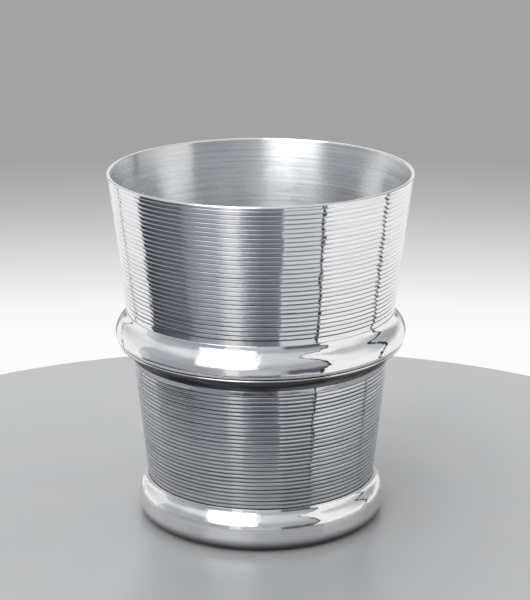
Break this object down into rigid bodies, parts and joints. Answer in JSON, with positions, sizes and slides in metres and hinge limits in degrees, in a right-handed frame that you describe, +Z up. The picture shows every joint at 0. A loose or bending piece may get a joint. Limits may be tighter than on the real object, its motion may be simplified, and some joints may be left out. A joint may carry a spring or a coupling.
{
  "type": "champagne bucket",
  "caption": "Two-tier tapering champagne bucket of reeded aluminium, with polished round beads at the waist and the foot and an open rounded rim.",
  "frame": {"origin": "centre of the circle that the foot bead stands on, on the table", "axes": "+Z up along the bucket's axis, which is its axis of revolution; +X and +Y level"},
  "size_m": [0.2, 0.2, 0.234],
  "materials": {
    "reeded_metal": "polished turned reeds outside, fine turned satin inside",
    "polished_metal": "bright polish",
    "spun_metal": "spun satin"
  },
  "bodies": {
    "root": {"upper_wall": "reeded_metal", "lower_wall": "reeded_metal", "waist_bead": "polished_metal", "waist_collar": "polished_metal", "foot_bead": "polished_metal", "base_plate": "spun_metal"}
  },
  "joints": []
}
